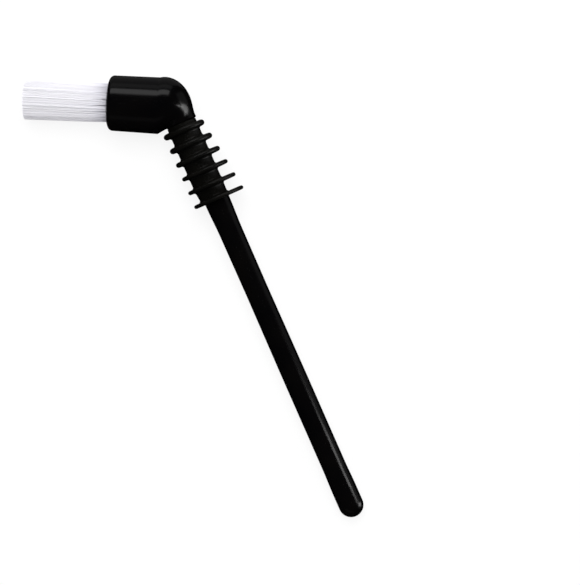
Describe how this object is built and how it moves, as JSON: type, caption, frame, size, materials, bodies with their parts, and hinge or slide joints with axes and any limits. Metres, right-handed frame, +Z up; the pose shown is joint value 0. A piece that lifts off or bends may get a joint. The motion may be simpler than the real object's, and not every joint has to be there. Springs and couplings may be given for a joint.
{
  "type": "angled cleaning brush",
  "caption": "Angled cleaning brush: slim round handle, finned splash guard and a bent socket head with a dense round tuft of fine white bristles.",
  "frame": {"origin": "centre of the bounding box's bottom face, on the surface that the brush lies on", "axes": "+X along the handle towards its round end, with the bristles on the -Y side; +Z up from the surface that it lies on"},
  "size_m": [0.2018, 0.0654, 0.0222],
  "materials": {
    "black_plastic": "polished moulded plastic",
    "carrier_plastic": "matt moulded plastic",
    "anchor_metal": "rolled strip",
    "white_bristle": "satin drawn nylon filament"
  },
  "bodies": {
    "root": {"handle": "black_plastic", "splash_guard": "black_plastic", "head": "black_plastic", "bristle_carrier": "carrier_plastic", "anchor_staples": "anchor_metal", "tuft_centre": "white_bristle", "tuft_inner_1": "white_bristle", "tuft_inner_2": "white_bristle", "tuft_inner_3": "white_bristle", "tuft_inner_4": "white_bristle", "tuft_inner_5": "white_bristle", "tuft_inner_6": "white_bristle", "tuft_middle_1": "white_bristle", "tuft_middle_2": "white_bristle", "tuft_middle_3": "white_bristle", "tuft_middle_4": "white_bristle", "tuft_middle_5": "white_bristle", "tuft_middle_6": "white_bristle", "tuft_middle_7": "white_bristle", "tuft_middle_8": "white_bristle", "tuft_middle_9": "white_bristle", "tuft_middle_10": "white_bristle", "tuft_middle_11": "white_bristle", "tuft_middle_12": "white_bristle", "tuft_outer_1": "white_bristle", "tuft_outer_2": "white_bristle", "tuft_outer_3": "white_bristle", "tuft_outer_4": "white_bristle", "tuft_outer_5": "white_bristle", "tuft_outer_6": "white_bristle", "tuft_outer_7": "white_bristle", "tuft_outer_8": "white_bristle", "tuft_outer_9": "white_bristle", "tuft_outer_10": "white_bristle", "tuft_outer_11": "white_bristle", "tuft_outer_12": "white_bristle", "tuft_outer_13": "white_bristle", "tuft_outer_14": "white_bristle", "tuft_outer_15": "white_bristle", "tuft_outer_16": "white_bristle", "tuft_outer_17": "white_bristle", "tuft_outer_18": "white_bristle"}
  },
  "joints": []
}
